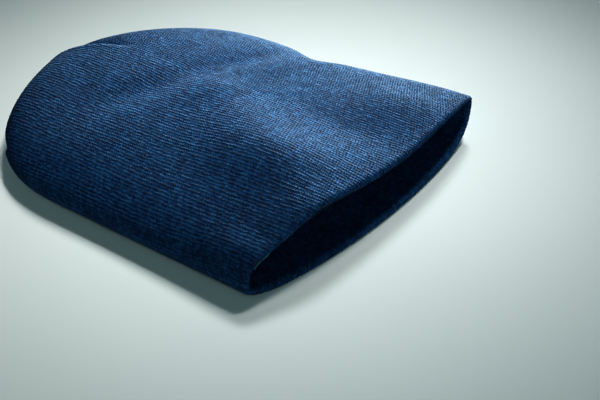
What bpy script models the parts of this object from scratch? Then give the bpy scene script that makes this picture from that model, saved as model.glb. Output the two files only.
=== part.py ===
"""Knit beanie without a cuff, lying flat as it is laid down on a table.

The mouth faces -Y, the crown points to +Y, and the underside rests on Z = 0. The origin is under
the middle of the hat. Two knitted plies are nested: the outer shell, whose brim is turned in as a
hem, and a lining that starts where the hem ends. Every ply, seam and stitch is placed with one
function, skin(), which gives the point at an angle round the tube, at a ring from the mouth to the
middle of the crown, and at a depth under the outside of the hat.
"""

import math

import bmesh
import bpy
import numpy as np

# The hat as it lies, metres
HALF_WIDTH = 0.1095
LENGTH = 0.259
MOUTH_BOW = 0.012
BOW_REACH = 0.050
CROWN_START = 0.138
CROWN_SQUARENESS = 2.7
CROWN_POINT = 0.78
TIP_SHIFT = 0.010
TIP_HEIGHT = 0.0115
TIP_SHARPNESS_ABOVE = 3
TIP_SHARPNESS_BELOW = 8
LEFT_FOLD_HEIGHT = 0.0115
RIGHT_FOLD_HEIGHT = 0.0145
RIGHT_CORNER_LIFT = 0.0085
RIGHT_CORNER_REACH = 0.070
TOP_AT_MOUTH = 0.035
TOP_AT_MIDDLE = 0.0355
BLUNTNESS_AT_MOUTH = 0.62
BLUNTNESS_GROWTH = 0.36
BLUNTNESS_REACH = 0.110
ROUNDNESS = 0.97  # nearer 1, equal steps of angle come nearer to equal lengths round the tube
UNDERSIDE_REACH = 1.15
PINCH_DEPTH = 0.0055
PINCH_ALONG = 0.114
PINCH_REACH = 0.0155

# Where the crown's seams meet, as a shift of the rings: how far, and towards which angle
CROWN_MIDDLE_SHIFT = 0.20
CROWN_MIDDLE_ANGLE = math.radians(285)

# Soft rises and hollows of the upper layer: height, across, along, two half-sizes, turn in degrees
WAVES = (
    (0.0042, -0.106, 0.014, 0.012, 0.022, 0),
    (0.0050, -0.062, 0.000, 0.022, 0.024, 0),
    (0.0085, -0.034, 0.046, 0.028, 0.040, -8),
    (0.0030, -0.008, 0.085, 0.026, 0.030, 0),
    (0.0026, 0.010, 0.118, 0.020, 0.016, -20),
    (0.0036, 0.064, 0.028, 0.022, 0.026, 0),
    (-0.0012, 0.020, 0.030, 0.016, 0.030, 0),
    (-0.0012, 0.055, 0.100, 0.030, 0.014, -18),
    (-0.0026, 0.052, 0.138, 0.045, 0.010, -15),
    (-0.0020, -0.018, 0.156, 0.026, 0.012, -15),
    (-0.0024, -0.052, 0.176, 0.040, 0.028, 0),
    (0.0016, 0.030, 0.222, 0.040, 0.020, 0),
)

# Plies, metres
PLY = 0.0018
PLY_GAP = 0.0008
CROWN_GAP = 0.0032
CROWN_GAP_START = 0.145
CROWN_GAP_FULL = 0.170
HEM_DEPTH = 0.026
BUTT_GAP = 0.0005
CLEARANCE = 0.0003

# Crown darts
FIRST_DART_ANGLE = math.radians(15)
DART_COUNT = 4
DART_RING = 0.52
DART_END_RING = 0.10
DART_NOTCH = 0.0016
DART_NOTCH_RING = 0.62
DART_NOTCH_GROWTH = 0.2
DART_NOTCH_FADE = 0.3
DART_NOTCH_WIDTH = math.radians(6)
DART_RIDGE_HALF_WIDTH = 0.0014
DART_RIDGE_HALF_HEIGHT = 0.0005
DART_RIDGE_ROOM = 0.0012
DART_INWARD_STEP = 0.001
LINING_DART_TURN = math.radians(15)

# Small pieces
LINKING_BEAD_RADIUS = 0.0008
TACK_HALF_WIDTH = 0.0022
TACK_HALF_HEIGHT = 0.0008
LABEL_WIDTH = 0.034
LABEL_LENGTH = 0.022
LABEL_THICKNESS = 0.0009
LABEL_ANGLE = math.radians(277.5)
LABEL_SETBACK = 0.0027
LABEL_EDGE_STEPS = 6
LABEL_STITCH_RADIUS = 0.0003
BRIM_THREAD_RADIUS = 0.0004
BRIM_THREAD_ANGLES = (math.radians(7.5), math.radians(18.75))
BRIM_THREAD_POINTS = 4
BRIM_THREAD_TURN = math.radians(100)  # round the brim's fold, from the outside to the inside

# Mesh density
COLUMNS = 48
TUBE_ROWS = 9
CROWN_ROWS = 18
FOLD_STEPS = 4
SEAM_SIDES = 6
TIP_FACET_SHORTFALL = 0.0036

# Materials: colour, roughness
FINISHES = {
    "outer_knit": ((0.030, 0.085, 0.200), 0.95),
    "lining_knit": ((0.012, 0.026, 0.060), 0.95),
    "sewing_thread": ((0.018, 0.040, 0.090), 0.70),
    "contrast_thread": ((0.060, 0.300, 0.330), 0.55),
    "label_tape": ((0.012, 0.014, 0.018), 0.60),
}

RING_CROWN = 1.0
RING_MIDDLE = 2.0
Y_SHIFT = -0.5 * (LENGTH - TIP_FACET_SHORTFALL - MOUTH_BOW)
OUTER_INSIDE = PLY
HEM_OUTSIDE = PLY + PLY_GAP
HEM_INSIDE = HEM_OUTSIDE + PLY
BRIM_RADIUS = 0.5 * HEM_INSIDE
CROWN_LINING_OUTSIDE = PLY + CROWN_GAP


def smooth(value):
    """Ease from 0 to 1 as value goes from 0 to 1."""
    value = np.clip(value, 0.0, 1.0)
    return value * value * (3.0 - 2.0 * value)


def waves(x, along):
    """Height of the soft rises and hollows of the upper layer."""
    total = np.zeros_like(x)
    for height, across, middle, size_a, size_b, turn in WAVES:
        cosine, sine = math.cos(math.radians(turn)), math.sin(math.radians(turn))
        first = (x - across) * cosine + (along - middle) * sine
        second = (along - middle) * cosine - (x - across) * sine
        total = total + height * np.exp(-((first / size_a) ** 2) - (second / size_b) ** 2)
    return total


def tube(angle, along, depth):
    """Point of the flattened tube: angle 0 is the -X fold, pi/2 the top, pi the +X fold."""
    end = LENGTH - depth
    crown = np.clip((along - CROWN_START) / (end - CROWN_START), 0.0, 1.0)
    across = -np.arcsin(ROUNDNESS * np.cos(angle)) / math.asin(ROUNDNESS)
    upright = np.sign(np.sin(angle)) * np.sqrt(np.maximum(1.0 - across**2, 0.0))
    half = (HALF_WIDTH - depth) * (1.0 - crown**CROWN_SQUARENESS) ** CROWN_POINT
    pinch = PINCH_DEPTH * np.exp(-(((along - PINCH_ALONG) / PINCH_REACH) ** 2))
    x = TIP_SHIFT * smooth(crown) + half * across - pinch * smooth(across)

    lift = RIGHT_CORNER_LIFT * np.exp(-((along / RIGHT_CORNER_REACH) ** 2))
    right = RIGHT_FOLD_HEIGHT + lift
    fold = LEFT_FOLD_HEIGHT + (right - LEFT_FOLD_HEIGHT) * (0.5 + 0.5 * across)
    fold = fold + (TIP_HEIGHT - fold) * smooth(crown)

    reach = np.abs(upright)
    top = TOP_AT_MOUTH + (TOP_AT_MIDDLE - TOP_AT_MOUTH) * smooth(along / CROWN_START)
    top = top + waves(x, along)
    cap = np.sqrt(1.0 - crown**TIP_SHARPNESS_ABOVE)
    bluntness = BLUNTNESS_AT_MOUTH + BLUNTNESS_GROWTH * smooth(along / BLUNTNESS_REACH)
    upper = fold + (top - depth - fold) * cap * reach**bluntness
    flat = 1.0 - (1.0 - np.minimum(reach * UNDERSIDE_REACH, 1.0)) ** 2
    flat = flat * np.sqrt(1.0 - crown**TIP_SHARPNESS_BELOW)
    lower = fold * (1.0 - flat) + depth * flat
    z = np.where(upright > 0, upper, lower)

    bow = MOUTH_BOW * (1.0 - across**2) * np.exp(-((along / BOW_REACH) ** 2))
    return np.stack([x, along - bow + Y_SHIFT, z], axis=-1)


def skin(angle, ring, depth):
    """Point at an angle, a ring (0 mouth, 1 start of the crown, 2 its middle) and a depth."""
    angle, ring, depth = np.broadcast_arrays(
        np.asarray(angle, float), np.asarray(ring, float), np.asarray(depth, float)
    )
    depth = depth + dart_notch(angle, ring)
    radius = RING_MIDDLE - np.maximum(ring, RING_CROWN)
    shift = CROWN_MIDDLE_SHIFT * (1.0 - radius**2) ** 2
    east = radius * np.cos(angle) + shift * math.cos(CROWN_MIDDLE_ANGLE)
    north = radius * np.sin(angle) + shift * math.sin(CROWN_MIDDLE_ANGLE)
    end = LENGTH - depth
    crown_along = end - (end - CROWN_START) * np.minimum(np.hypot(east, north), 1.0)
    in_crown = ring > RING_CROWN
    along = np.where(in_crown, crown_along, ring * CROWN_START)
    return tube(np.where(in_crown, np.arctan2(north, east), angle), along, depth)


def dart_notch(angle, ring):
    """How deep the darts draw the crown in."""
    total = np.zeros_like(angle)
    for dart in range(DART_COUNT):
        middle = FIRST_DART_ANGLE + dart * 2 * math.pi / DART_COUNT
        away = np.abs((angle - middle + math.pi) % (2 * math.pi) - math.pi)
        total = total + np.exp(-((away / DART_NOTCH_WIDTH) ** 2))
    grow = smooth((ring - RING_MIDDLE + DART_NOTCH_RING) / DART_NOTCH_GROWTH)
    fade = smooth((RING_MIDDLE - ring) / DART_NOTCH_FADE)
    return DART_NOTCH * total * grow * fade


def ring_at(along):
    """Ring number of a distance from the mouth, below the crown."""
    return along / CROWN_START


def lining_outside(ring):
    """Depth of the lining's outer face: it steps in where the crown's seams need room."""
    start, full = ring_of_length(CROWN_GAP_START), ring_of_length(CROWN_GAP_FULL)
    step = smooth((ring - start) / (full - start))
    return HEM_OUTSIDE + (CROWN_LINING_OUTSIDE - HEM_OUTSIDE) * step


def ring_of_length(along):
    """Ring number of a distance from the mouth, anywhere on the hat."""
    if along <= CROWN_START:
        return along / CROWN_START
    return RING_CROWN + (along - CROWN_START) / (LENGTH - CROWN_START)


def material(name):
    """Principled material of one finish."""
    colour, roughness = FINISHES[name]
    made = bpy.data.materials.get(name) or bpy.data.materials.new(name)
    made.use_nodes = True
    shader = made.node_tree.nodes["Principled BSDF"]
    shader.inputs["Base Color"].default_value = (*colour, 1.0)
    shader.inputs["Roughness"].default_value = roughness
    made.diffuse_color = (*colour, 1.0)
    return made


def add_object(name, mesh_maker, finish, origin=(0.0, 0.0, 0.0)):
    """Turn a bmesh into a named object whose origin is at the given point."""
    mesh = bpy.data.meshes.new(name)
    bmesh.ops.recalc_face_normals(mesh_maker, faces=mesh_maker.faces)
    bmesh.ops.translate(mesh_maker, verts=mesh_maker.verts, vec=[-value for value in origin])
    mesh_maker.to_mesh(mesh)
    mesh_maker.free()
    mesh.shade_smooth()
    mesh.materials.append(material(finish))
    made = bpy.data.objects.new(name, mesh)
    made.location = origin
    bpy.context.scene.collection.objects.link(made)
    return made


def loft(rows):
    """Tube through equal rows of points, with a flat cap at each end."""
    mesh_maker = bmesh.new()
    made = [[mesh_maker.verts.new(point) for point in row] for row in rows]
    for first, second in zip(made, made[1:]):
        for index in range(len(first)):
            after = (index + 1) % len(first)
            mesh_maker.faces.new((first[index], first[after], second[after], second[index]))
    mesh_maker.faces.new(made[0])
    mesh_maker.faces.new(made[-1])
    return mesh_maker


def swept_ply(profile):
    """Closed ply: a profile of (ring, depth) pairs taken round the tube, from pole to pole.

    Every quad is cut from its lower ring's first corner to its upper ring's second one, so that
    neighbouring plies have parallel facets.
    """
    angles = np.arange(COLUMNS) * 2 * math.pi / COLUMNS
    mesh_maker = bmesh.new()
    last_ring, last_row = None, []
    for ring, depth in profile:
        points = skin(angles if ring < RING_MIDDLE else np.zeros(1), ring, depth)
        row = [mesh_maker.verts.new(point) for point in points]
        if last_row:
            rising = ring > last_ring
            lower, upper = (last_row, row) if rising else (row, last_row)
            join_rows(mesh_maker, lower, upper)
        last_ring, last_row = ring, row
    return mesh_maker


def join_rows(mesh_maker, lower, upper):
    """Triangles between two rings of vertices, the upper one perhaps a pole."""
    for index in range(COLUMNS):
        after = (index + 1) % COLUMNS
        if len(upper) == 1:
            mesh_maker.faces.new((lower[index], lower[after], upper[0]))
        else:
            mesh_maker.faces.new((lower[index], lower[after], upper[after]))
            mesh_maker.faces.new((lower[index], upper[after], upper[index]))


def body_rings():
    """Rings from the hem's end to the pole, shared by both plies so that they stay parallel."""
    first = ring_at(HEM_DEPTH + BUTT_GAP)
    tube_rings = np.linspace(first, RING_CROWN, TUBE_ROWS)
    crown_rings = np.linspace(RING_CROWN, RING_MIDDLE, CROWN_ROWS + 1)[1:]
    return [*tube_rings, *crown_rings]


def outer_shell():
    """Outer knit ply: crown, tube, and the brim turned in over a soft fold as a hem."""
    outside = [(ring, 0.0) for ring in reversed(body_rings())]
    inside = [(ring, OUTER_INSIDE) for ring in body_rings()]
    fold = []
    for step in range(FOLD_STEPS + 1):
        turn = math.pi * step / FOLD_STEPS
        along = BRIM_RADIUS - BRIM_RADIUS * math.sin(turn)
        fold.append((ring_at(along), BRIM_RADIUS - BRIM_RADIUS * math.cos(turn)))
    hem_end = ring_at(HEM_DEPTH)
    hem_middle = ring_at(0.5 * HEM_DEPTH)
    inner_fold = ring_at(BRIM_RADIUS - 0.5 * PLY_GAP)
    hem = [
        (hem_middle, HEM_INSIDE),
        (hem_end, HEM_INSIDE),
        (hem_end, HEM_OUTSIDE),
        (hem_middle, HEM_OUTSIDE),
        (ring_at(BRIM_RADIUS), HEM_OUTSIDE),
        (inner_fold, BRIM_RADIUS),
        (ring_at(BRIM_RADIUS), OUTER_INSIDE),
        (hem_middle, OUTER_INSIDE),
    ]
    outside_hem = [(hem_middle, 0.0)]
    profile = outside + outside_hem + fold + hem + inside
    return add_object("outer_shell", swept_ply(profile), "outer_knit")


def lining():
    """Inner knit ply, from the hem's raw edge to the crown."""
    rings = body_rings()
    outside = [(ring, float(lining_outside(ring))) for ring in reversed(rings)]
    inside = [(ring, float(lining_outside(ring)) + PLY) for ring in rings]
    return add_object("lining", swept_ply(outside + inside), "lining_knit")


def hem_linking_seam():
    """Chain-stitch bead that joins the hem's edge to the lining, inside the mouth."""
    radius = LINKING_BEAD_RADIUS
    middle = HEM_INSIDE + CLEARANCE + radius
    along = HEM_DEPTH + 0.5 * BUTT_GAP
    profile = []
    for side in range(SEAM_SIDES):
        turn = 2 * math.pi * side / SEAM_SIDES
        profile.append((ring_at(along + radius * math.cos(turn)), middle + radius * math.sin(turn)))
    mesh_maker = swept_ply(profile + profile[:1])
    bmesh.ops.remove_doubles(mesh_maker, verts=mesh_maker.verts, dist=1e-6)
    return add_object("hem_linking_seam", mesh_maker, "sewing_thread")


def dart_seam(name, angle, depth_of_ring):
    """Ridge of overlocked seam allowance along one dart, lying between the plies."""
    rings = [ring for ring in body_rings() if ring >= RING_MIDDLE - DART_RING]
    rings = [ring for ring in rings if ring <= RING_MIDDLE - DART_END_RING]
    path = np.array([skin(angle, ring, depth_of_ring(ring)) for ring in rings])
    inward = np.array([skin(angle, ring, depth_of_ring(ring) + DART_INWARD_STEP) for ring in rings]) - path
    inward /= np.linalg.norm(inward, axis=1, keepdims=True)
    forward = np.gradient(path, axis=0)
    forward /= np.linalg.norm(forward, axis=1, keepdims=True)
    sideways = np.cross(forward, inward)
    sideways /= np.linalg.norm(sideways, axis=1, keepdims=True)
    inward = np.cross(sideways, forward)
    rows = []
    for point, side, up in zip(path, sideways, inward):
        row = []
        for corner in range(SEAM_SIDES):
            turn = 2 * math.pi * corner / SEAM_SIDES
            width = DART_RIDGE_HALF_WIDTH * math.cos(turn)
            height = DART_RIDGE_HALF_HEIGHT * math.sin(turn)
            row.append(tuple(point + side * width + up * height))
        rows.append(row)
    return add_object(name, loft(rows), "sewing_thread")


def crown_dart_seams():
    """Dart seams of the outer shell and of the lining, set apart round the crown."""
    outer_depth = OUTER_INSIDE + DART_RIDGE_ROOM
    for dart in range(DART_COUNT):
        angle = FIRST_DART_ANGLE + dart * 2 * math.pi / DART_COUNT
        dart_seam(f"crown_dart_seam_{dart + 1}", angle, lambda ring: outer_depth)
        dart_seam(
            f"lining_dart_seam_{dart + 1}",
            angle + LINING_DART_TURN,
            lambda ring: float(lining_outside(ring)) - (outer_depth - OUTER_INSIDE),
        )


def crown_tack():
    """Knotted thread that ties the two crowns together at their middle."""
    middle = skin(0.0, RING_MIDDLE, PLY + 0.5 * CROWN_GAP)
    mesh_maker = bmesh.new()
    bmesh.ops.create_uvsphere(mesh_maker, u_segments=10, v_segments=6, radius=1.0)
    bmesh.ops.scale(
        mesh_maker, verts=mesh_maker.verts, vec=(TACK_HALF_WIDTH, TACK_HALF_WIDTH, TACK_HALF_HEIGHT)
    )
    bmesh.ops.translate(mesh_maker, verts=mesh_maker.verts, vec=middle)
    return add_object("crown_tack", mesh_maker, "sewing_thread", tuple(middle))


def label_hinge():
    """Point in the middle of the label's stitched edge, on the line it turns about."""
    seam = skin(LABEL_ANGLE, ring_at(HEM_DEPTH), HEM_INSIDE)
    y = seam[1] + 0.5 * BUTT_GAP + LINKING_BEAD_RADIUS + LABEL_SETBACK
    return (float(seam[0]), float(y), HEM_INSIDE + CLEARANCE + 0.5 * LABEL_THICKNESS)


def care_label():
    """Folded tape label, lying on the lining and free to lift about its stitched edge."""
    x, y, z = label_hinge()
    radius = 0.5 * LABEL_THICKNESS
    outline = []
    for step in range(LABEL_EDGE_STEPS + 1):
        turn = math.pi * (0.5 + step / LABEL_EDGE_STEPS)
        outline.append((y + radius * math.cos(turn), z + radius * math.sin(turn)))
    outline.append((y + LABEL_LENGTH, z - radius))
    outline.append((y + LABEL_LENGTH, z + radius))
    rows = [
        [(x + side * 0.5 * LABEL_WIDTH, point_y, point_z) for point_y, point_z in outline]
        for side in (-1, 1)
    ]
    return add_object("care_label", loft(rows), "label_tape", (x, y, z))


def label_stitches():
    """Row of stitches that holds the label's edge down on the lining."""
    x, y, z = label_hinge()
    y -= 0.5 * LABEL_THICKNESS + CLEARANCE + LABEL_STITCH_RADIUS
    half = 0.5 * LABEL_WIDTH
    rows = round_tube([(x - half, y, z), (x + half, y, z)], LABEL_STITCH_RADIUS)
    return add_object("label_stitches", loft(rows), "sewing_thread")


def brim_thread():
    """Short end of contrast thread caught along the brim's fold, near the left corner."""
    angles = np.linspace(*BRIM_THREAD_ANGLES, BRIM_THREAD_POINTS)
    reach = BRIM_RADIUS + CLEARANCE + BRIM_THREAD_RADIUS
    along = BRIM_RADIUS - reach * math.sin(BRIM_THREAD_TURN)
    depth = BRIM_RADIUS - reach * math.cos(BRIM_THREAD_TURN)
    path = skin(angles, ring_at(along), depth)
    return add_object("brim_thread", loft(round_tube(path, BRIM_THREAD_RADIUS)), "contrast_thread")


def round_tube(path, radius):
    """Rows of points for a round tube along a path that runs mostly across the hat."""
    path = np.array(path, float)
    forward = np.gradient(path, axis=0)
    forward /= np.linalg.norm(forward, axis=1, keepdims=True)
    rows = []
    for point, ahead in zip(path, forward):
        side = np.cross(ahead, (0.0, 0.0, 1.0))
        side /= np.linalg.norm(side)
        up = np.cross(side, ahead)
        turns = [2 * math.pi * corner / SEAM_SIDES for corner in range(SEAM_SIDES)]
        rows.append([
            tuple(point + radius * (side * math.cos(turn) + up * math.sin(turn))) for turn in turns
        ])
    return rows


def main():
    """Clear the scene and build every piece."""
    for thing in list(bpy.data.objects):
        bpy.data.objects.remove(thing, do_unlink=True)
    outer_shell()
    lining()
    hem_linking_seam()
    crown_dart_seams()
    crown_tack()
    care_label()
    label_stitches()
    brim_thread()


main()
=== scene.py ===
"""Looks of the knit beanie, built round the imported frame.

Both plies are made stitch by stitch: every wale and course of the stocking stitch is a pair of raised
yarn legs in the mesh. The plies follow skin(), the same surface that the frame was designed on.
"""

import math

import bpy
import numpy as np
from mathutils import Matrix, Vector


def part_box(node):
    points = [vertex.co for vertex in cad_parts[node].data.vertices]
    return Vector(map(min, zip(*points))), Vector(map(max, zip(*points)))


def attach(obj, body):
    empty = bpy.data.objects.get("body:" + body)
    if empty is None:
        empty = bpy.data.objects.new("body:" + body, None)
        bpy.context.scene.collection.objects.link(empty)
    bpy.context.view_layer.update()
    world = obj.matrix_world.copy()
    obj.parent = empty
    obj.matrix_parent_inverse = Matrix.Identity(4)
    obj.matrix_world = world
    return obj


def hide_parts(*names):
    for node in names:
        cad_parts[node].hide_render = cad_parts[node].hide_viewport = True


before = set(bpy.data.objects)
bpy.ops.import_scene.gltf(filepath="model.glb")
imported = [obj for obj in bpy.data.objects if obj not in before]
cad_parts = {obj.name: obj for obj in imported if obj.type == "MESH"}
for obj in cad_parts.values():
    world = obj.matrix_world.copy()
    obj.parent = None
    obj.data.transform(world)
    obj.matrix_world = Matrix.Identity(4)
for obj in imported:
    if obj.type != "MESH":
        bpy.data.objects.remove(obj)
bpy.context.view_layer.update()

# The hat as it lies, metres; its width and length come from the frame
MOUTH_BOW = 0.012
BOW_REACH = 0.050
TIP_FACET_SHORTFALL = 0.0036
SHELL_LOW, SHELL_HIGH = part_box("outer_shell")
HALF_WIDTH = 0.5 * (SHELL_HIGH[0] - SHELL_LOW[0])
CORNER_Y = SHELL_LOW[1] + MOUTH_BOW
LENGTH = SHELL_HIGH[1] - CORNER_Y + TIP_FACET_SHORTFALL
CROWN_START = 0.138
CROWN_SQUARENESS = 2.7
CROWN_POINT = 0.78
TIP_SHIFT = 0.010
TIP_HEIGHT = 0.0115
TIP_SHARPNESS_ABOVE = 3
TIP_SHARPNESS_BELOW = 8
LEFT_FOLD_HEIGHT = 0.0115
RIGHT_FOLD_HEIGHT = 0.0145
RIGHT_CORNER_LIFT = 0.0085
RIGHT_CORNER_REACH = 0.070
TOP_AT_MOUTH = 0.035
TOP_AT_MIDDLE = 0.0355
BLUNTNESS_AT_MOUTH = 0.62
BLUNTNESS_GROWTH = 0.36
BLUNTNESS_REACH = 0.110
ROUNDNESS = 0.97
UNDERSIDE_REACH = 1.15
PINCH_DEPTH = 0.0055
PINCH_ALONG = 0.114
PINCH_REACH = 0.0155
CROWN_MIDDLE_SHIFT = 0.20
CROWN_MIDDLE_ANGLE = math.radians(285)

# Soft rises and hollows of the upper layer: height, across, along, two half-sizes, turn in degrees
WAVES = (
    (0.0042, -0.106, 0.014, 0.012, 0.022, 0),
    (0.0050, -0.062, 0.000, 0.022, 0.024, 0),
    (0.0085, -0.034, 0.046, 0.028, 0.040, -8),
    (0.0030, -0.008, 0.085, 0.026, 0.030, 0),
    (0.0026, 0.010, 0.118, 0.020, 0.016, -20),
    (0.0036, 0.064, 0.028, 0.022, 0.026, 0),
    (-0.0012, 0.020, 0.030, 0.016, 0.030, 0),
    (-0.0012, 0.055, 0.100, 0.030, 0.014, -18),
    (-0.0026, 0.052, 0.138, 0.045, 0.010, -15),
    (-0.0020, -0.018, 0.156, 0.026, 0.012, -15),
    (-0.0024, -0.052, 0.176, 0.040, 0.028, 0),
    (0.0016, 0.030, 0.222, 0.040, 0.020, 0),
)

# Plies, metres
PLY = 0.0018
PLY_GAP = 0.0008
CROWN_GAP = 0.0032
CROWN_GAP_STEP = CROWN_GAP - PLY_GAP
CROWN_GAP_START = 0.145
CROWN_GAP_FULL = 0.170
HEM_DEPTH = 0.026
HEM_OUTSIDE = PLY + PLY_GAP
HEM_INSIDE = HEM_OUTSIDE + PLY
BRIM_RADIUS = 0.5 * HEM_INSIDE
BUTT_GAP = 0.0005

# Crown darts
FIRST_DART_ANGLE = math.radians(15)
GORES = 4
DART_RING = 0.58
DART_GROWTH = 0.2  # rings over which a dart grows from nothing
DART_FADE = 0.3  # rings over which it fades towards the middle
DART_NOTCH = 0.0016
DART_NOTCH_WIDTH = math.radians(6)
CREASE_DEPTH = 0.0018
CREASE_HALF_WIDTH = 0.0022
LIP_HEIGHT = 0.0014
LIP_OFFSET = 0.0042
LIP_HALF_WIDTH = 0.0035

# Knit: stitches round the hat, their size, and the grid that draws each stitch
WALES_PER_GORE = 52
COURSE = 0.00184
WALE = 0.00225
COURSE_SLANT = 0.5625
SHELL_GRID = (8, 4)
LINING_GRID = (4, 3)
YARN_RELIEF = 0.00055
RELIEF_SINK = 0.8  # share of the relief that lies below the ply's plain face
LEG_PLACE = 0.20
LEG_TILT = math.radians(24)
LEG_HALF_LENGTH = 0.00115
LEG_HALF_WIDTH = 0.00056
LEG_LEAN = 0.8
LEG_ROUNDNESS = 0.5
RELIEF_FADE = 0.04  # rings over which the stitches flatten towards the middle of the crown
SHELL_GAP_AT_MIDDLE = 0.008  # rings left open before the pole
LINING_GAP_AT_MIDDLE = 0.012
MELANGE_RUN = 1.3  # wales from one shade of the yarn to the next
PATCH_WALES = 9.0
ALONG_YARN_SHARE = 0.15
LEG_SHARE = 0.10
PATCH_SHARE = 0.04
SHORT_SLIPS = (0.20, 0.10)  # shifts across and along the wales from stitch to stitch, in stitches
LONG_SLIPS = (0.10, 0.35)  # slow shifts across and along the wales, in stitches
SLIP_WALES = (14.0, 18.0)  # how wide the slow shifts across and along the wales are
SLIP_START = 10.0  # wales over which the slow shifts set in

# Small pieces
CLEARANCE = 0.0003
FLOOR_CLEARANCE = 0.0001
LINKING_RADIUS = 0.0008
LINK_WAIST = 0.55  # radius between two links, as a share of the radius in a link's middle
LINK_SWAY = 0.25
SEAM_ROOM = 0.0012
SEAM_RADIUS = 0.0007
DART_SEAM_RING = 0.52
DART_END_RING = 0.10
LINING_DART_TURN = math.radians(15)
LABEL_STITCHES = 14
BRIM_THREAD_RADIUS = 0.0004
BRIM_THREAD_ANGLES = (math.radians(7.5), math.radians(18.75))
BRIM_THREAD_TURN = math.radians(100)

# UV map of a ply, in strips across it. It has the name that the exporter gives its own bake map, so the
# export bakes a ply on this layout: its own unwrap leaves almost no pixels to faces as small as these
BAKE_MAP = "OFBake"
FACE_CHART = (0.0, 0.78)  # a strip's bottom and height, as shares of the map's height
BACK_CHART = (0.82, 0.16)
EDGE_CHARTS = ((0.785, 0.79), (0.985, 0.99), (0.995, 0.999), (0.80, 0.805))  # bottom and top

# Colours: melange yarn from its darkest fibres to its lightest
OUTER_STOPS = (
    (0.10, (0.002, 0.011, 0.046)),
    (0.40, (0.005, 0.040, 0.135)),
    (0.65, (0.013, 0.105, 0.270)),
    (0.85, (0.045, 0.220, 0.410)),
    (1.00, (0.150, 0.330, 0.460)),
)
LINING_STOPS = (
    (0.10, (0.004, 0.008, 0.018)),
    (0.60, (0.010, 0.020, 0.045)),
    (1.00, (0.022, 0.042, 0.085)),
)
NAVY = (0.018, 0.040, 0.090)
TEAL = (0.015, 0.280, 0.340)
BLACK = (0.012, 0.014, 0.018)

# Stage: colours are linear, lamps are (name, place, aim, watts, radius, cone in degrees, colour)
FLOOR_SIZE = 6.0
FLOOR_COLOUR = (0.665, 0.680, 0.640)
SPOT_BLEND = 1.0
FILL_COLOUR = (0.45, 0.85, 1.00)
FILL_STRENGTH = 0.045
KEY_LAMP = ("key", (1.359, 0.464, 0.439), (0.02, -0.05, 0.0), 640.0, 0.22, 30.0, (0.82, 0.97, 1.0))
HIGH_LAMP = ("high", (0.591, -0.098, 1.391), (0.035, -0.02, 0.0), 98.0, 0.16, 19.5, (1.0, 1.0, 1.0))
BACK_LAMP = ("back", (0.865, 0.385, 1.182), (0.035, -0.02, 0.0), 162.0, 0.30, 19.5, (1.0, 1.0, 1.0))
WASH_LAMP = ("wash", (-0.9, -0.75, 0.9), (-0.09, -0.05, 0.0), 240.0, 0.50, 18.0, (0.62, 0.90, 0.96))
FRONT_LAMP = ("front", (-0.5, -1.0, 0.5), (0.0, -0.05, 0.0), 40.0, 0.40, 25.0, (0.62, 0.86, 1.0))
VIEW_GAMMA = 0.8
CAMERA_LENS = 72.0  # millimetres
CAMERA_PLACE = (-0.4710, CORNER_Y - 0.3098, 0.3730)
CAMERA_HEADING = (0.7951, 0.6065)
CAMERA_TILT = math.radians(33.0)

RING_CROWN = 1.0
RING_MIDDLE = 2.0


def smooth(value):
    """Ease from 0 to 1 as value goes from 0 to 1."""
    value = np.clip(value, 0.0, 1.0)
    return value * value * (3.0 - 2.0 * value)


def bumps(x, along, rows):
    """Sum of soft oval rises and hollows, each turned its own way."""
    total = np.zeros_like(x)
    for height, across, middle, size_a, size_b, turn in rows:
        cosine, sine = math.cos(math.radians(turn)), math.sin(math.radians(turn))
        first = (x - across) * cosine + (along - middle) * sine
        second = (along - middle) * cosine - (x - across) * sine
        total = total + height * np.exp(-((first / size_a) ** 2) - (second / size_b) ** 2)
    return total


def soft_noise(x, y, size, seed):
    """Smooth noise from -1 to 1 whose lumps are about size across."""
    cells = 64
    grid = np.random.default_rng(seed).uniform(-1.0, 1.0, (cells, cells))
    column, row = x / size, y / size
    left, low = np.floor(column).astype(int), np.floor(row).astype(int)
    right_share, high_share = smooth(column - left), smooth(row - low)
    total = np.zeros_like(x)
    for step_x, share_x in ((0, 1.0 - right_share), (1, right_share)):
        for step_y, share_y in ((0, 1.0 - high_share), (1, high_share)):
            total = total + share_x * share_y * grid[(left + step_x) % cells, (low + step_y) % cells]
    return total


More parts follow.
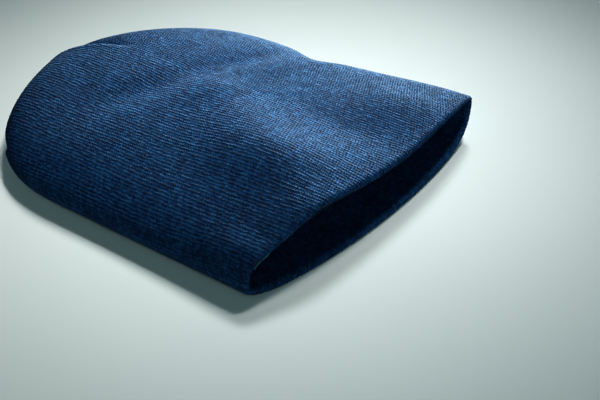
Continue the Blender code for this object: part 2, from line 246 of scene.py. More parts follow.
def tube(angle, along, depth):
    """Point of the flattened tube: angle 0 is the -X fold, pi/2 the top, pi the +X fold."""
    end = LENGTH - depth
    crown = np.clip((along - CROWN_START) / (end - CROWN_START), 0.0, 1.0)
    across = -np.arcsin(ROUNDNESS * np.cos(angle)) / math.asin(ROUNDNESS)
    upright = np.sign(np.sin(angle)) * np.sqrt(np.maximum(1.0 - across**2, 0.0))
    half = (HALF_WIDTH - depth) * (1.0 - crown**CROWN_SQUARENESS) ** CROWN_POINT
    pinch = PINCH_DEPTH * np.exp(-(((along - PINCH_ALONG) / PINCH_REACH) ** 2))
    x = TIP_SHIFT * smooth(crown) + half * across - pinch * smooth(across)

    lift = RIGHT_CORNER_LIFT * np.exp(-((along / RIGHT_CORNER_REACH) ** 2))
    right = RIGHT_FOLD_HEIGHT + lift
    fold = LEFT_FOLD_HEIGHT + (right - LEFT_FOLD_HEIGHT) * (0.5 + 0.5 * across)
    fold = fold + (TIP_HEIGHT - fold) * smooth(crown)

    reach = np.abs(upright)
    top = TOP_AT_MOUTH + (TOP_AT_MIDDLE - TOP_AT_MOUTH) * smooth(along / CROWN_START)
    top = top + bumps(x, along, WAVES)
    cap = np.sqrt(1.0 - crown**TIP_SHARPNESS_ABOVE)
    bluntness = BLUNTNESS_AT_MOUTH + BLUNTNESS_GROWTH * smooth(along / BLUNTNESS_REACH)
    upper = fold + (top - depth - fold) * cap * reach**bluntness
    flat = 1.0 - (1.0 - np.minimum(reach * UNDERSIDE_REACH, 1.0)) ** 2
    flat = flat * np.sqrt(1.0 - crown**TIP_SHARPNESS_BELOW)
    lower = fold * (1.0 - flat) + depth * flat
    z = np.where(upright > 0, upper, lower)

    bow = MOUTH_BOW * (1.0 - across**2) * np.exp(-((along / BOW_REACH) ** 2))
    return np.stack([x, along - bow + CORNER_Y, z], axis=-1)


def skin(angle, ring, depth):
    """Point at an angle, a ring (0 mouth, 1 start of the crown, 2 its middle) and a depth."""
    angle, ring, depth = np.broadcast_arrays(
        np.asarray(angle, float), np.asarray(ring, float), np.asarray(depth, float)
    )
    depth = depth + dart_notch(angle, ring)
    radius = RING_MIDDLE - np.maximum(ring, RING_CROWN)
    shift = CROWN_MIDDLE_SHIFT * (1.0 - radius**2) ** 2
    east = radius * np.cos(angle) + shift * math.cos(CROWN_MIDDLE_ANGLE)
    north = radius * np.sin(angle) + shift * math.sin(CROWN_MIDDLE_ANGLE)
    end = LENGTH - depth
    crown_along = end - (end - CROWN_START) * np.minimum(np.hypot(east, north), 1.0)
    in_crown = ring > RING_CROWN
    along = np.where(in_crown, crown_along, ring * CROWN_START)
    return tube(np.where(in_crown, np.arctan2(north, east), angle), along, depth)


def dart_away(angle):
    """Signed angle to the nearest dart."""
    gore = 2 * math.pi / GORES
    return (angle - FIRST_DART_ANGLE + 0.5 * gore) % gore - 0.5 * gore


def dart_strength(ring):
    """How much of its depth a dart has at a ring."""
    grow = smooth((ring - RING_MIDDLE + DART_RING) / DART_GROWTH)
    return grow * smooth((RING_MIDDLE - ring) / DART_FADE)


def dart_notch(angle, ring):
    """How deep the darts draw the crown in."""
    return DART_NOTCH * np.exp(-((dart_away(angle) / DART_NOTCH_WIDTH) ** 2)) * dart_strength(ring)


def ring_at(along):
    """Ring number of a distance from the mouth, below the crown."""
    return along / CROWN_START


def lining_outside(ring):
    """Depth of the lining's outer face: it steps in where the crown's seams need room."""
    start, full = (
        RING_CROWN + (along - CROWN_START) / (LENGTH - CROWN_START)
        for along in (CROWN_GAP_START, CROWN_GAP_FULL)
    )
    return HEM_OUTSIDE + CROWN_GAP_STEP * smooth((ring - start) / (full - start))


class KnitMap:
    """Where the wales and courses of a ply run, measured along the hat's outer face."""

    RINGS = 161
    STEPS = 240

    def __init__(self):
        self.rings = np.linspace(0.0, RING_MIDDLE - 0.004, self.RINGS)
        angles = FIRST_DART_ANGLE + np.linspace(0.0, 2 * math.pi, GORES * self.STEPS + 1)
        points = skin(angles[None, :], self.rings[:, None], 0.0)
        steps = np.linalg.norm(np.diff(points, axis=1), axis=2).reshape(self.RINGS, GORES, self.STEPS)
        self.lengths = steps.sum(axis=2)
        shares = np.cumsum(steps, axis=2) / self.lengths[..., None]
        self.shares = np.concatenate([np.zeros((self.RINGS, GORES, 1)), shares], axis=2)
        self.angles = angles
        upper = skin(np.linspace(0.3, math.pi - 0.3, 9)[None, :], self.rings[:, None], 0.0)
        run = np.linalg.norm(np.diff(upper, axis=0), axis=2).mean(axis=1)
        self.run = np.concatenate([[0.0], np.cumsum(run)])
        start = np.interp(RING_MIDDLE - DART_RING, self.rings, np.arange(self.RINGS))
        full = self.lengths[int(start)]
        self.fill = np.minimum(self.lengths / full, 1.0)
        self.fill[: int(start)] = 1.0

    def columns(self, rings, per_gore):
        """Angles of evenly spaced columns at each ring, and how full of wales each gore is."""
        wanted = np.arange(per_gore) / per_gore
        table = np.zeros((self.RINGS, GORES, per_gore))
        for row in range(self.RINGS):
            for gore in range(GORES):
                first = gore * self.STEPS
                stretch = self.angles[first : first + self.STEPS + 1]
                table[row, gore] = np.interp(wanted, self.shares[row, gore], stretch)
        place = np.clip(np.interp(rings, self.rings, np.arange(self.RINGS)), 0, self.RINGS - 1.001)
        low = place.astype(int)
        share = (place - low)[:, None, None]
        angles = table[low] * (1 - share) + table[low + 1] * share
        fill = self.fill[low] * (1 - share[..., 0]) + self.fill[low + 1] * share[..., 0]
        return angles.reshape(len(rings), -1), fill

    def courses(self, rings):
        """Distance from the mouth along the fabric, in courses."""
        return np.interp(rings, self.rings, self.run) / COURSE

    def rings_of(self, courses):
        """Ring numbers of distances given in courses."""
        return np.interp(np.asarray(courses) * COURSE, self.run, self.rings)


def stitch_relief(wale, course):
    """Height, from 0 to about 1.2, of the two yarn legs of each stocking stitch, and each leg's course."""
    across = (np.abs(wale - np.round(wale)) - LEG_PLACE) * WALE
    slanted = course - COURSE_SLANT * np.round(wale)
    row = np.floor(slanted)
    base = slanted - row - 0.5
    height = np.zeros_like(wale)
    owner = row + np.zeros_like(wale)
    for step in (-1, 0, 1):
        up = (base + step) * COURSE
        length = across * math.sin(LEG_TILT) + up * math.cos(LEG_TILT)
        width = across * math.cos(LEG_TILT) - up * math.sin(LEG_TILT)
        inside = 1.0 - (length / LEG_HALF_LENGTH) ** 2 - (width / LEG_HALF_WIDTH) ** 2
        leg = np.maximum(inside, 0.0) ** LEG_ROUNDNESS * (1.0 - LEG_LEAN * length / LEG_HALF_LENGTH)
        owner = np.where(leg > height, row - step, owner)
        height = np.maximum(height, leg)
    return height, owner


def yarn_tone(wale, row):
    """Shade of the yarn from 0 to 1: it changes along each course and jumps from course to course."""
    yarn_jump = 31.0 * row
    along_yarn = soft_noise(wale + yarn_jump, 17.0 * row, MELANGE_RUN, 11)
    legs = soft_noise(np.floor(2.0 * wale + 1.0), row, 1.0, 12)
    patch = soft_noise(wale, 1.5 * row, PATCH_WALES, 13)
    return 0.5 + ALONG_YARN_SHARE * along_yarn + LEG_SHARE * legs + PATCH_SHARE * patch


def grid_normals(points):
    """Unit normals of a grid of points that is closed along its second axis."""
    wrapped = np.concatenate([points[:, -1:], points, points[:, :1]], axis=1)
    across = wrapped[:, 2:] - wrapped[:, :-2]
    along = np.gradient(points, axis=0)
    normals = np.cross(along, across)
    size = np.linalg.norm(normals, axis=2, keepdims=True)
    return normals / np.maximum(size, 1e-12)


def mesh_object(name, points, faces, chart=None, attributes=()):
    """Object from arrays: faces is a list of index arrays, each (faces, corners of one face)."""
    mesh = bpy.data.meshes.new(name)
    corners = np.concatenate([block.ravel() for block in faces])
    sizes = np.concatenate([np.full(len(block), block.shape[1]) for block in faces])
    starts = np.concatenate([[0], np.cumsum(sizes)[:-1]])
    mesh.vertices.add(len(points))
    mesh.vertices.foreach_set("co", np.asarray(points, np.float32).ravel())
    mesh.loops.add(len(corners))
    mesh.loops.foreach_set("vertex_index", corners.astype(np.int32))
    mesh.polygons.add(len(sizes))
    mesh.polygons.foreach_set("loop_start", starts.astype(np.int32))
    mesh.update(calc_edges=True)
    if chart is not None:
        made = mesh.uv_layers.new(name=BAKE_MAP)
        made.uv.foreach_set("vector", np.asarray(chart, np.float32).ravel())
    for attribute, values in attributes:
        made = mesh.attributes.new(attribute, "FLOAT", "POINT")
        made.data.foreach_set("value", np.asarray(values, np.float32).ravel())
    mesh.shade_smooth()
    thing = bpy.data.objects.new(name, mesh)
    bpy.context.scene.collection.objects.link(thing)
    return thing


def grid_quads(rows, columns, first):
    """Quads of a grid that is closed along its columns, as vertex numbers."""
    row, column = np.meshgrid(np.arange(rows - 1), np.arange(columns), indexing="ij")
    after = (column + 1) % columns
    corner = first + row * columns
    above = corner + columns
    quads = np.stack([corner + column, corner + after, above + after, above + column], axis=-1)
    return quads.reshape(-1, 4)


def pole_fan(columns, first, pole, flip):
    """Triangles from a ring of vertices to a pole."""
    column = np.arange(columns)
    after = (column + 1) % columns
    fan = np.stack([first + column, first + after, np.full(columns, pole)], axis=-1)
    return fan[:, ::-1] if flip else fan


def dart_relief(angle, ring, knit):
    """Height of the crease at each dart and of the lip of fabric that rolls over beside it."""
    per_radian = np.interp(ring, knit.rings, knit.lengths.mean(axis=1)) / (2 * math.pi / GORES)
    away = dart_away(angle) * per_radian
    crease = -CREASE_DEPTH * np.exp(-((away / CREASE_HALF_WIDTH) ** 2))
    lip = LIP_HEIGHT * np.exp(-(((away + LIP_OFFSET) / LIP_HALF_WIDTH) ** 2)) * (np.sin(angle) > 0)
    return (crease + lip) * dart_strength(ring)


def ply_points(knit, angles, rings, depths):
    """Points of a ply's face, with the darts' creases pressed through every ply."""
    rings, depths = rings[:, None], depths[:, None]
    return skin(angles, rings, depths - dart_relief(angles, rings, knit))


def knit_ply(name, knit, face, back, grid):
    """Closed knitted ply: a face drawn stitch by stitch, and a plain back.

    face is its (rings, depths, courses) and back its (rings, depths), all arrays that start at the
    ply's edge and end near the middle of the crown. grid is how many mesh columns and rows draw one
    stitch.
    """
    per_gore = WALES_PER_GORE * grid[0]
    columns, back_columns = per_gore * GORES, WALES_PER_GORE * GORES
    rings, depths, courses = face
    rows = len(rings)
    angles, fill = knit.columns(rings, per_gore)
    points = ply_points(knit, angles, rings, depths)
    left = (np.arange(per_gore) / per_gore - 0.5) * WALES_PER_GORE
    wales = (fill[:, :, None] * left).reshape(rows, columns)
    gore_start = np.repeat(np.arange(GORES) * WALES_PER_GORE, per_gore)
    slip_across, slip_along = stitch_slips(wales + gore_start, courses[:, None])
    number = wales + slip_across + gore_start
    relief, owner = stitch_relief(number, courses[:, None] + slip_along)
    tone = yarn_tone(number, owner)
    fade = smooth((RING_MIDDLE - rings) / RELIEF_FADE)[:, None]
    points = points + grid_normals(points) * (YARN_RELIEF * (relief * fade - RELIEF_SINK))[..., None]
    points[..., 2] = np.maximum(points[..., 2], FLOOR_CLEARANCE)

    back_rings, back_depths = back
    back_angles, _ = knit.columns(back_rings, WALES_PER_GORE)
    back_points = ply_points(knit, back_angles, back_rings, back_depths)
    pole_depths = np.array([depths[-1], back_depths[-1]])
    poles = ply_points(knit, np.zeros((2, 1)), np.full(2, RING_MIDDLE), pole_depths)
    all_points = np.concatenate([points.reshape(-1, 3), back_points.reshape(-1, 3), poles.reshape(-1, 3)])

    first_back = rows * columns
    pole = first_back + back_points.shape[0] * back_columns
    column = np.arange(columns)
    after = (column + 1) % columns
    behind = first_back + column // grid[0]
    edge_fan = np.stack([after, column, behind], axis=-1)
    wale = np.arange(back_columns)
    next_wale = (wale + 1) % back_columns
    edge_turn = np.stack([next_wale * grid[0], first_back + wale, first_back + next_wale], axis=-1)
    quads = grid_quads(rows, columns, 0)
    back_quads = grid_quads(len(back_rings), back_columns, first_back)[:, ::-1]
    faces = [
        quads,
        back_quads,
        pole_fan(columns, first_back - columns, pole, False),
        pole_fan(back_columns, pole - back_columns, pole + 1, True),
        edge_fan,
        edge_turn,
    ]
    chart = chart_corners(faces, (rows, columns), (len(back_rings), back_columns))
    rest = np.zeros(len(all_points) - relief.size)
    attributes = (
        ("relief", np.concatenate([(relief * fade).ravel(), rest])),
        ("tone", np.concatenate([tone.ravel(), rest + 0.5])),
    )
    return mesh_object(name, all_points, faces, chart, attributes)


def stitch_slips(wale, course):
    """Small shifts that make the stitches uneven, as yarn is; the slow ones set in after the first wales."""
    number = np.round(wale)
    calm = smooth(np.minimum(wale, GORES * WALES_PER_GORE - wale) / SLIP_START + 2.0)
    across = SHORT_SLIPS[0] * soft_noise(number, course * 0.5, 1.0, 5)
    across = across + LONG_SLIPS[0] * calm * soft_noise(wale, course, SLIP_WALES[0], 6)
    along = SHORT_SLIPS[1] * soft_noise(number, course * 0.2, 1.0, 7)
    along = along + LONG_SLIPS[1] * calm * soft_noise(wale, course, SLIP_WALES[1], 8)
    return across, along


def chart_corners(faces, face_size, back_size):
    """Flat layout of a ply, with no overlap: strips for its face, its back, its poles and its edge."""
    blocks = []
    for (bottom, height), (grid_rows, grid_columns), flip in (
        (FACE_CHART, face_size, False),
        (BACK_CHART, back_size, True),
    ):
        row, column = np.meshgrid(np.arange(grid_rows - 1), np.arange(grid_columns), indexing="ij")
        across = np.stack([column, column + 1, column + 1, column], axis=-1) / grid_columns
        up = bottom + height * np.stack([row, row, row + 1, row + 1], axis=-1) / (grid_rows - 1)
        block = np.stack([across, up], axis=-1).reshape(-1, 4, 2)
        blocks.append((block[:, ::-1] if flip else block).reshape(-1, 2))
    for block, (bottom, top) in zip(faces[2:], EDGE_CHARTS):
        place = np.arange(len(block)) / len(block)
        step = 1.0 / len(block)
        corners = np.stack(
            [
                np.stack([place, np.full(len(block), bottom)], axis=-1),
                np.stack([place + step, np.full(len(block), bottom)], axis=-1),
                np.stack([place + 0.5 * step, np.full(len(block), top)], axis=-1),
            ],
            axis=1,
        )
        blocks.append(corners.reshape(-1, 2))
    return np.concatenate(blocks)


def outer_shell(knit):
    """Outer ply: hem inside the mouth, round the brim's fold, and up to the crown; and its rings."""
    step = COURSE / SHELL_GRID[1]
    fold_length = math.pi * BRIM_RADIUS
    hem_run = np.arange(HEM_DEPTH, BRIM_RADIUS, -step)
    hem_courses = -(hem_run - BRIM_RADIUS + fold_length) / COURSE
    hem = (ring_at(hem_run), np.full(len(hem_run), HEM_INSIDE), hem_courses)
    turns = np.arange(0.0, math.pi, step / BRIM_RADIUS)
    fold = (
        ring_at(BRIM_RADIUS - BRIM_RADIUS * np.sin(turns)),
        BRIM_RADIUS + BRIM_RADIUS * np.cos(turns),
        -(math.pi - turns) * BRIM_RADIUS / COURSE,
    )
    start = knit.courses(ring_at(BRIM_RADIUS))
    end = knit.courses(RING_MIDDLE - SHELL_GAP_AT_MIDDLE)
    outside_courses = np.arange(start, end, 1.0 / SHELL_GRID[1])
    outside = (knit.rings_of(outside_courses), np.zeros(len(outside_courses)), outside_courses - start)
    face = [np.concatenate(parts) for parts in zip(hem, fold, outside)]

    inner_radius = 0.5 * PLY_GAP
    centre = BRIM_RADIUS
    hem_back = np.linspace(HEM_DEPTH, centre, 10)
    turns = np.linspace(0.0, math.pi, 5)[1:-1]
    body = np.concatenate([np.linspace(ring_at(centre), 1.0, 60), np.linspace(1.0, 1.985, 90)[1:]])
    rings = np.concatenate([ring_at(hem_back), ring_at(centre - inner_radius * np.sin(turns)), body])
    depths = np.concatenate(
        [np.full(10, HEM_OUTSIDE), centre + inner_radius * np.cos(turns), np.full(len(body), PLY)]
    )
    return knit_ply("knit_outer_shell", knit, face, (rings, depths), SHELL_GRID), face[0]


def lining(knit):
    """Inner ply, knit side towards the head, from the linking seam to the crown; and its rings."""
    first = ring_at(HEM_DEPTH + BUTT_GAP)
    start, end = knit.courses(first), knit.courses(RING_MIDDLE - LINING_GAP_AT_MIDDLE)
    courses = np.arange(start, end, 1.0 / LINING_GRID[1])
    rings = knit.rings_of(courses)
    face = (rings, lining_outside(rings) + PLY, courses)
    back_rings = np.concatenate([np.linspace(first, 1.0, 50), np.linspace(1.0, 1.98, 80)[1:]])
    back = (back_rings, lining_outside(back_rings))
    return knit_ply("knit_lining", knit, face, back, LINING_GRID), face[0]


def hem_linking_seam(knit):
    """Chain stitches that join the hem's edge to the lining, one link to each wale."""
    links = GORES * WALES_PER_GORE
    steps, sides = 6, 8
    angles, _ = knit.columns(np.array([ring_at(HEM_DEPTH)]), WALES_PER_GORE * steps)
    angles = angles[0]
    phase = np.arange(links * steps) / steps
    bulge = np.sqrt(np.abs(np.sin(math.pi * phase)))
    radius = LINKING_RADIUS * (LINK_WAIST + (1.0 - LINK_WAIST) * bulge)
    sway = LINK_SWAY * LINKING_RADIUS * np.sin(math.pi * phase)
    rows = []
    for side in range(sides):
        turn = 2 * math.pi * side / sides
        along = HEM_DEPTH + 0.5 * BUTT_GAP + radius * math.cos(turn) + sway
        depth = HEM_INSIDE + CLEARANCE + LINKING_RADIUS + radius * math.sin(turn)
        rows.append(skin(angles, ring_at(along), depth))
    points = np.stack(rows).reshape(-1, 3)
    columns = links * steps
    row, column = np.meshgrid(np.arange(sides), np.arange(columns), indexing="ij")
    after, above = (column + 1) % columns, (row + 1) % sides
    quads = np.stack(
        [row * columns + column, above * columns + column, above * columns + after, row * columns + after],
        axis=-1,
    ).reshape(-1, 4)
    return mesh_object("linking_chain", points, [quads])


def tube_mesh(name, path, radii, sides=8):
    """Closed round tube along a path, with a radius at each point."""
    path = np.asarray(path, float)
    forward = np.gradient(path, axis=0)
    forward /= np.linalg.norm(forward, axis=1, keepdims=True)
    side = np.cross(forward, (0.0, 0.0, 1.0))
    side /= np.linalg.norm(side, axis=1, keepdims=True)
    up = np.cross(side, forward)
    turns = np.arange(sides) * 2 * math.pi / sides
    ring = side[:, None] * np.cos(turns)[None, :, None] + up[:, None] * np.sin(turns)[None, :, None]
    points = path[:, None] + ring * np.asarray(radii)[:, None, None]
    count = len(path)
    all_points = np.concatenate([points.reshape(-1, 3), path[:1], path[-1:]])
    first, last = count * sides, count * sides + 1
    faces = [
        grid_quads(count, sides, 0),
        pole_fan(sides, 0, first, True),
        pole_fan(sides, (count - 1) * sides, last, False),
    ]
    return mesh_object(name, all_points, faces)


def round_ends(count):
    """Radius shares along a tube whose two ends are rounded off."""
    place = np.linspace(-1.0, 1.0, count)
    return np.sqrt(np.maximum(1.0 - place**8, 0.02))


def dart_seams(knit):
    """Overlocked ridges along the darts, between the plies."""
    steps = 240
    made = {}
    for dart in range(GORES):
        angle = FIRST_DART_ANGLE + dart * 2 * math.pi / GORES
        for kind, turn, depth_of in (
            ("crown", 0.0, lambda rings: np.full(len(rings), PLY + SEAM_ROOM)),
            ("lining", LINING_DART_TURN, lambda rings: lining_outside(rings) - SEAM_ROOM),
        ):
            rings = np.linspace(RING_MIDDLE - DART_SEAM_RING, RING_MIDDLE - DART_END_RING, steps)
            angles = np.full(steps, angle + turn)
            wobble = 0.5 + 0.5 * np.cos(np.arange(steps) * math.pi / 2)
            path = skin(angles, rings, depth_of(rings) - dart_relief(angles, rings, knit))
            name = f"{kind}_dart_seam_{dart + 1}"
            radii = SEAM_RADIUS * (0.75 + 0.25 * wobble) * round_ends(steps)
            made[name] = tube_mesh(f"overlocked_{name}", path, radii)
    return made


def care_label():
    """Loop of woven tape: two layers, folded at the free end."""
    low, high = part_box("care_label")
    steps, fold_steps, across = 24, 12, 20
    half = 0.5 * (high[2] - low[2])
    layer = 0.42 * half
    middle = 0.5 * (low[2] + high[2])
    radius = half - 0.5 * layer
    hinge = low[1] + half
    length = high[1] - hinge - half
    outline = []
    for side in (0.5, -0.5):
        path = []
        reach = radius + side * layer
        for step in range(steps + 1):
            path.append((hinge + length * step / steps, middle + reach))
        for step in range(1, fold_steps):
            turn = math.pi * (0.5 - step / fold_steps)
            path.append((hinge + length + reach * math.cos(turn), middle + reach * math.sin(turn)))
        for step in range(steps + 1):
            path.append((hinge + length * (1 - step / steps), middle - reach))
        outline.append(path)
    loop = np.array(outline[0] + outline[1][::-1])
    xs = np.linspace(low[0], high[0], across + 1)
    points = np.zeros((len(xs), len(loop), 3))
    points[..., 0] = xs[:, None]
    points[..., 1] = loop[None, :, 0]
    points[..., 2] = loop[None, :, 1]
    count = len(loop)
    row, column = np.meshgrid(np.arange(len(xs) - 1), np.arange(count), indexing="ij")
    after = (column + 1) % count
    quads = np.stack(
        [row * count + column, row * count + after, (row + 1) * count + after, (row + 1) * count + column],
        axis=-1,
    ).reshape(-1, 4)
    half_count = count // 2
    strip = np.arange(half_count - 1)
    ends = []
    for row_number, flip in ((0, True), (len(xs) - 1, False)):
        first = row_number * count
        outer, inner = first + strip, first + count - 1 - strip
        cap = np.stack([outer, outer + 1, inner - 1, inner], axis=-1)
        ends.append(cap[:, ::-1] if flip else cap)
    return mesh_object("woven_care_label", points.reshape(-1, 3), [quads, *ends])


def label_stitches():
    """Row of short stitches that holds the label's edge down."""
    low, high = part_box("label_stitches")
    radius = 0.5 * (high[2] - low[2])
    y, z = 0.5 * (low[1] + high[1]), 0.5 * (low[2] + high[2])
    points = 60
    pitch = (high[0] - low[0]) / LABEL_STITCHES
    x = np.linspace(low[0], high[0], LABEL_STITCHES * points)
    share = ((x - low[0]) / pitch) % 1.0
    radii = radius * (0.45 + 0.55 * np.sqrt(np.sin(math.pi * share)))
    path = np.stack([x, np.full_like(x, y), np.full_like(x, z)], axis=-1)
    return tube_mesh("label_stitch_row", path, radii)


def brim_thread():
    """Loose end of bright thread lying along the brim's fold."""
    steps = 60
    angles = np.linspace(*BRIM_THREAD_ANGLES, steps)
    reach = BRIM_RADIUS + CLEARANCE + BRIM_THREAD_RADIUS
    along = BRIM_RADIUS - reach * math.sin(BRIM_THREAD_TURN)
    path = skin(angles, ring_at(along), BRIM_RADIUS - reach * math.cos(BRIM_THREAD_TURN))
    twist = 0.85 + 0.15 * np.cos(np.arange(steps) * 1.9)
    return tube_mesh("loose_thread_end", path, BRIM_THREAD_RADIUS * twist * round_ends(steps))


def add_node(tree, kind, settings=None, **inputs):
    """New shader node; an input is a value or another node's output."""
    made = tree.nodes.new("ShaderNode" + kind)
    for name, value in (settings or {}).items():
        setattr(made, name, value)
    for name, value in inputs.items():
        socket = made.inputs[int(name[1:])] if name[0] == "i" and name[1:].isdigit() else made.inputs[name]
        if isinstance(value, bpy.types.NodeSocket):
            tree.links.new(value, socket)
        else:
            socket.default_value = value
    return made


def new_material(name, roughness, sheen=0.0, sheen_roughness=0.5, sheen_tint=(1.0, 1.0, 1.0)):
    """Material with its tree and its Principled shader."""
    material = bpy.data.materials.new(name)
    material.use_nodes = True
    shader = material.node_tree.nodes["Principled BSDF"]
    shader.inputs["Roughness"].default_value = roughness
    shader.inputs["Specular IOR Level"].default_value = 0.5
    shader.inputs["Specular Tint"].default_value = (0.35, 0.75, 1.0, 1.0)
    shader.inputs["Sheen Weight"].default_value = sheen
    shader.inputs["Sheen Roughness"].default_value = sheen_roughness
    shader.inputs["Sheen Tint"].default_value = (*sheen_tint, 1.0)
    return material, material.node_tree, shader


def colour_ramp(tree, value, stops):
    """Colour ramp from (place, colour) stops."""
    ramp = add_node(tree, "ValToRGB", Fac=value)
    ramp.color_ramp.interpolation = "EASE"
    elements = ramp.color_ramp.elements
    while len(elements) < len(stops):
        elements.new(0.5)
    for element, (place, colour) in zip(elements, stops):
        element.position = place
        element.color = (*colour, 1.0)
    return ramp.outputs["Color"]


def knit_material(name, stops, groove_shade, sheen):
    """Melange yarn: fibres of several blues spun together, with painted shade between the stitches."""
    material, tree, shader = new_material(name, 0.9, sheen, 0.45, (0.55, 0.75, 1.0))
    relief = add_node(tree, "Attribute", {"attribute_name": "relief"}).outputs["Fac"]
    tone = add_node(tree, "Attribute", {"attribute_name": "tone"}).outputs["Fac"]
    place = add_node(tree, "TexCoord").outputs["Object"]
    fibres = add_node(tree, "TexNoise", Vector=place, Scale=1500.0, Detail=3.0, Roughness=0.7).outputs["Fac"]
    flecks = add_node(tree, "TexNoise", Vector=place, Scale=420.0, Detail=2.0).outputs["Fac"]
    fine = add_node(tree, "Math", {"operation": "MULTIPLY_ADD"}, i0=fibres, i1=0.5, i2=tone)
    mixed = add_node(tree, "Math", {"operation": "MULTIPLY_ADD"}, i0=flecks, i1=0.35, i2=fine.outputs[0])
    value = add_node(tree, "Math", {"operation": "SUBTRACT"}, i0=mixed.outputs[0], i1=0.42)
    colour = colour_ramp(tree, value.outputs[0], stops)
    # Painted shade: the yarn's colour is multiplied down to the third argument's share where the relief is
    # low, that is between the stitches, at the flattened middle of the crown and on the ply's plain back
    height = add_node(tree, "MapRange", {"clamp": True}, i0=relief, i1=0.0, i2=0.95, i3=groove_shade, i4=1.0)
    groove_shaded = add_node(
        tree, "MixRGB", {"blend_type": "MULTIPLY"}, Fac=1.0, Color1=colour, Color2=height.outputs[0]
    )
    tree.links.new(groove_shaded.outputs["Color"], shader.inputs["Base Color"])
    bump = add_node(tree, "Bump", Strength=0.5, Distance=0.0003, Height=fibres)
    tree.links.new(bump.outputs["Normal"], shader.inputs["Normal"])
    return material


def thread_material(name, colour, spread):
    """Twisted sewing thread: fine diagonal twist and a soft gloss."""
    material, tree, shader = new_material(name, 0.45, 0.2)
    place = add_node(tree, "TexCoord").outputs["Object"]
    noise = add_node(tree, "TexNoise", Vector=place, Scale=900.0, Detail=2.0).outputs["Fac"]
    darker = tuple(value * spread for value in colour)
    mixed = colour_ramp(tree, noise, ((0.3, darker), (0.7, colour)))
    tree.links.new(mixed, shader.inputs["Base Color"])
    twist = add_node(
        tree, "TexWave", {"bands_direction": "DIAGONAL"}, Vector=place, Scale=1400.0, Distortion=1.0
    )
    bump = add_node(tree, "Bump", Strength=0.4, Distance=0.0001, Height=twist.outputs["Fac"])
    tree.links.new(bump.outputs["Normal"], shader.inputs["Normal"])
    return material


def tape_material(name, colour):
    """Woven satin tape: fine floats across, brighter than the gaps between them."""
    material, tree, shader = new_material(name, 0.38, 0.15)
    place = add_node(tree, "TexCoord").outputs["Object"]
    weft = add_node(tree, "TexWave", {"bands_direction": "Y"}, Vector=place, Scale=1300.0, Distortion=0.6)
    warp = add_node(tree, "TexWave", {"bands_direction": "X"}, Vector=place, Scale=700.0, Distortion=0.8)
    weave = add_node(tree, "Math", {"operation": "MULTIPLY"}, i0=weft.outputs["Fac"], i1=warp.outputs["Fac"])
    lighter = tuple(2.4 * value for value in colour)
    mixed = colour_ramp(tree, weave.outputs[0], ((0.0, colour), (1.0, lighter)))
    tree.links.new(mixed, shader.inputs["Base Color"])
    bump = add_node(tree, "Bump", Strength=0.5, Distance=0.00015, Height=weave.outputs[0])
    tree.links.new(bump.outputs["Normal"], shader.inputs["Normal"])
    return material


def floor_material():
    """Pale matt table top with the faintest mottle."""
    material, tree, shader = new_material("pale_table", 0.6)
    place = add_node(tree, "TexCoord").outputs["Object"]
    mottle = add_node(tree, "TexNoise", Vector=place, Scale=6.0, Detail=3.0).outputs["Fac"]
    mixed = colour_ramp(tree, mottle, ((0.3, FLOOR_COLOUR), (0.7, tuple(1.02 * v for v in FLOOR_COLOUR))))
    tree.links.new(mixed, shader.inputs["Base Color"])
    return material


def spot_lamp(floor, floor_state, name, place, aim, watts, radius, cone, colour):
    """Soft spot that lights only the floor (INCLUDE), all but the floor (EXCLUDE) or all (None)."""
    light = bpy.data.lights.new(name, "SPOT")
    light.energy = watts
    light.color = colour
    light.shadow_soft_size = radius
    light.spot_size = math.radians(cone)
    light.spot_blend = SPOT_BLEND
    lamp = bpy.data.objects.new(name, light)
    bpy.context.scene.collection.objects.link(lamp)
    lamp.location = place
    lamp.rotation_euler = (Vector(aim) - Vector(place)).to_track_quat("-Z", "Y").to_euler()
    if floor_state:
        receivers = bpy.data.collections.new(f"{name}_receivers")
        receivers.objects.link(floor)
        receivers.collection_objects[0].light_linking.link_state = floor_state
        lamp.light_linking.receiver_collection = receivers


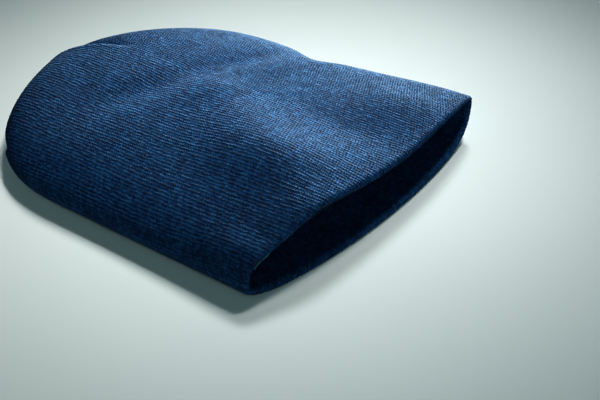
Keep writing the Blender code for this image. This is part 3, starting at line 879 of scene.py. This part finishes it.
def stage():
    """Plain pale floor, soft light and the camera."""
    bpy.ops.mesh.primitive_plane_add(size=FLOOR_SIZE, location=(0.0, 0.0, 0.0))
    floor = bpy.context.object
    floor.name = "floor"
    floor.data.materials.append(floor_material())

    bpy.context.scene.view_settings.view_transform = "Standard"
    bpy.context.scene.view_settings.gamma = VIEW_GAMMA
    world = bpy.data.worlds.new("soft_room")
    bpy.context.scene.world = world
    world.use_nodes = True
    background = world.node_tree.nodes["Background"]
    background.inputs["Color"].default_value = (*FILL_COLOUR, 1.0)
    background.inputs["Strength"].default_value = FILL_STRENGTH

    spot_lamp(floor, "EXCLUDE", *KEY_LAMP)
    spot_lamp(floor, None, *HIGH_LAMP)
    spot_lamp(floor, "INCLUDE", *BACK_LAMP)
    spot_lamp(floor, "INCLUDE", *WASH_LAMP)
    spot_lamp(floor, "EXCLUDE", *FRONT_LAMP)

    camera = bpy.data.objects.new("camera", bpy.data.cameras.new("camera"))
    camera.data.lens = CAMERA_LENS
    camera.location = CAMERA_PLACE
    level = math.cos(CAMERA_TILT)
    view = Vector((CAMERA_HEADING[0] * level, CAMERA_HEADING[1] * level, -math.sin(CAMERA_TILT)))
    camera.rotation_euler = view.to_track_quat("-Z", "Y").to_euler()
    bpy.context.scene.collection.objects.link(camera)
    bpy.context.scene.camera = camera


def settle(piece, body, nodes, material):
    """Give a piece its body and its material, and hide the CAD nodes that it stands for."""
    piece.data.materials.append(material)
    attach(piece, body)
    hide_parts(*nodes)
    return piece


def declare_ply(knit, rings):
    """Work out how full of wales each gore of a ply is at its rings; the result is not used."""
    _, fill = knit.columns(rings, 1)


def main():
    """Build the stage, then the looks of every piece."""
    stage()
    # The third number of each yarn is the share of its colour left in its painted shade between the stitches
    outer_yarn = knit_material("blue_melange_yarn", OUTER_STOPS, 0.30, 0.0)
    lining_yarn = knit_material("navy_yarn", LINING_STOPS, 0.35, 0.15)
    thread = thread_material("navy_thread", NAVY, 0.5)
    bright = thread_material("bright_thread", TEAL, 0.1)
    tape = tape_material("black_satin_tape", BLACK)
    knit = KnitMap()
    shell, shell_rings = outer_shell(knit)
    settle(shell, "hat", ["outer_shell"], outer_yarn)
    declare_ply(knit, shell_rings)
    inner, inner_rings = lining(knit)
    settle(inner, "hat", ["lining"], lining_yarn)
    declare_ply(knit, inner_rings)
    settle(hem_linking_seam(knit), "hat", ["hem_linking_seam"], thread)
    for node, piece in dart_seams(knit).items():
        settle(piece, "hat", [node], thread)
    label = settle(care_label(), "label", ["care_label"], tape)
    settle(label_stitches(), "hat", ["label_stitches"], thread)
    settle(brim_thread(), "hat", ["brim_thread"], bright)
    tack = bpy.data.objects["crown_tack"]
    tack.data.materials.clear()
    tack.data.materials.append(thread)


main()
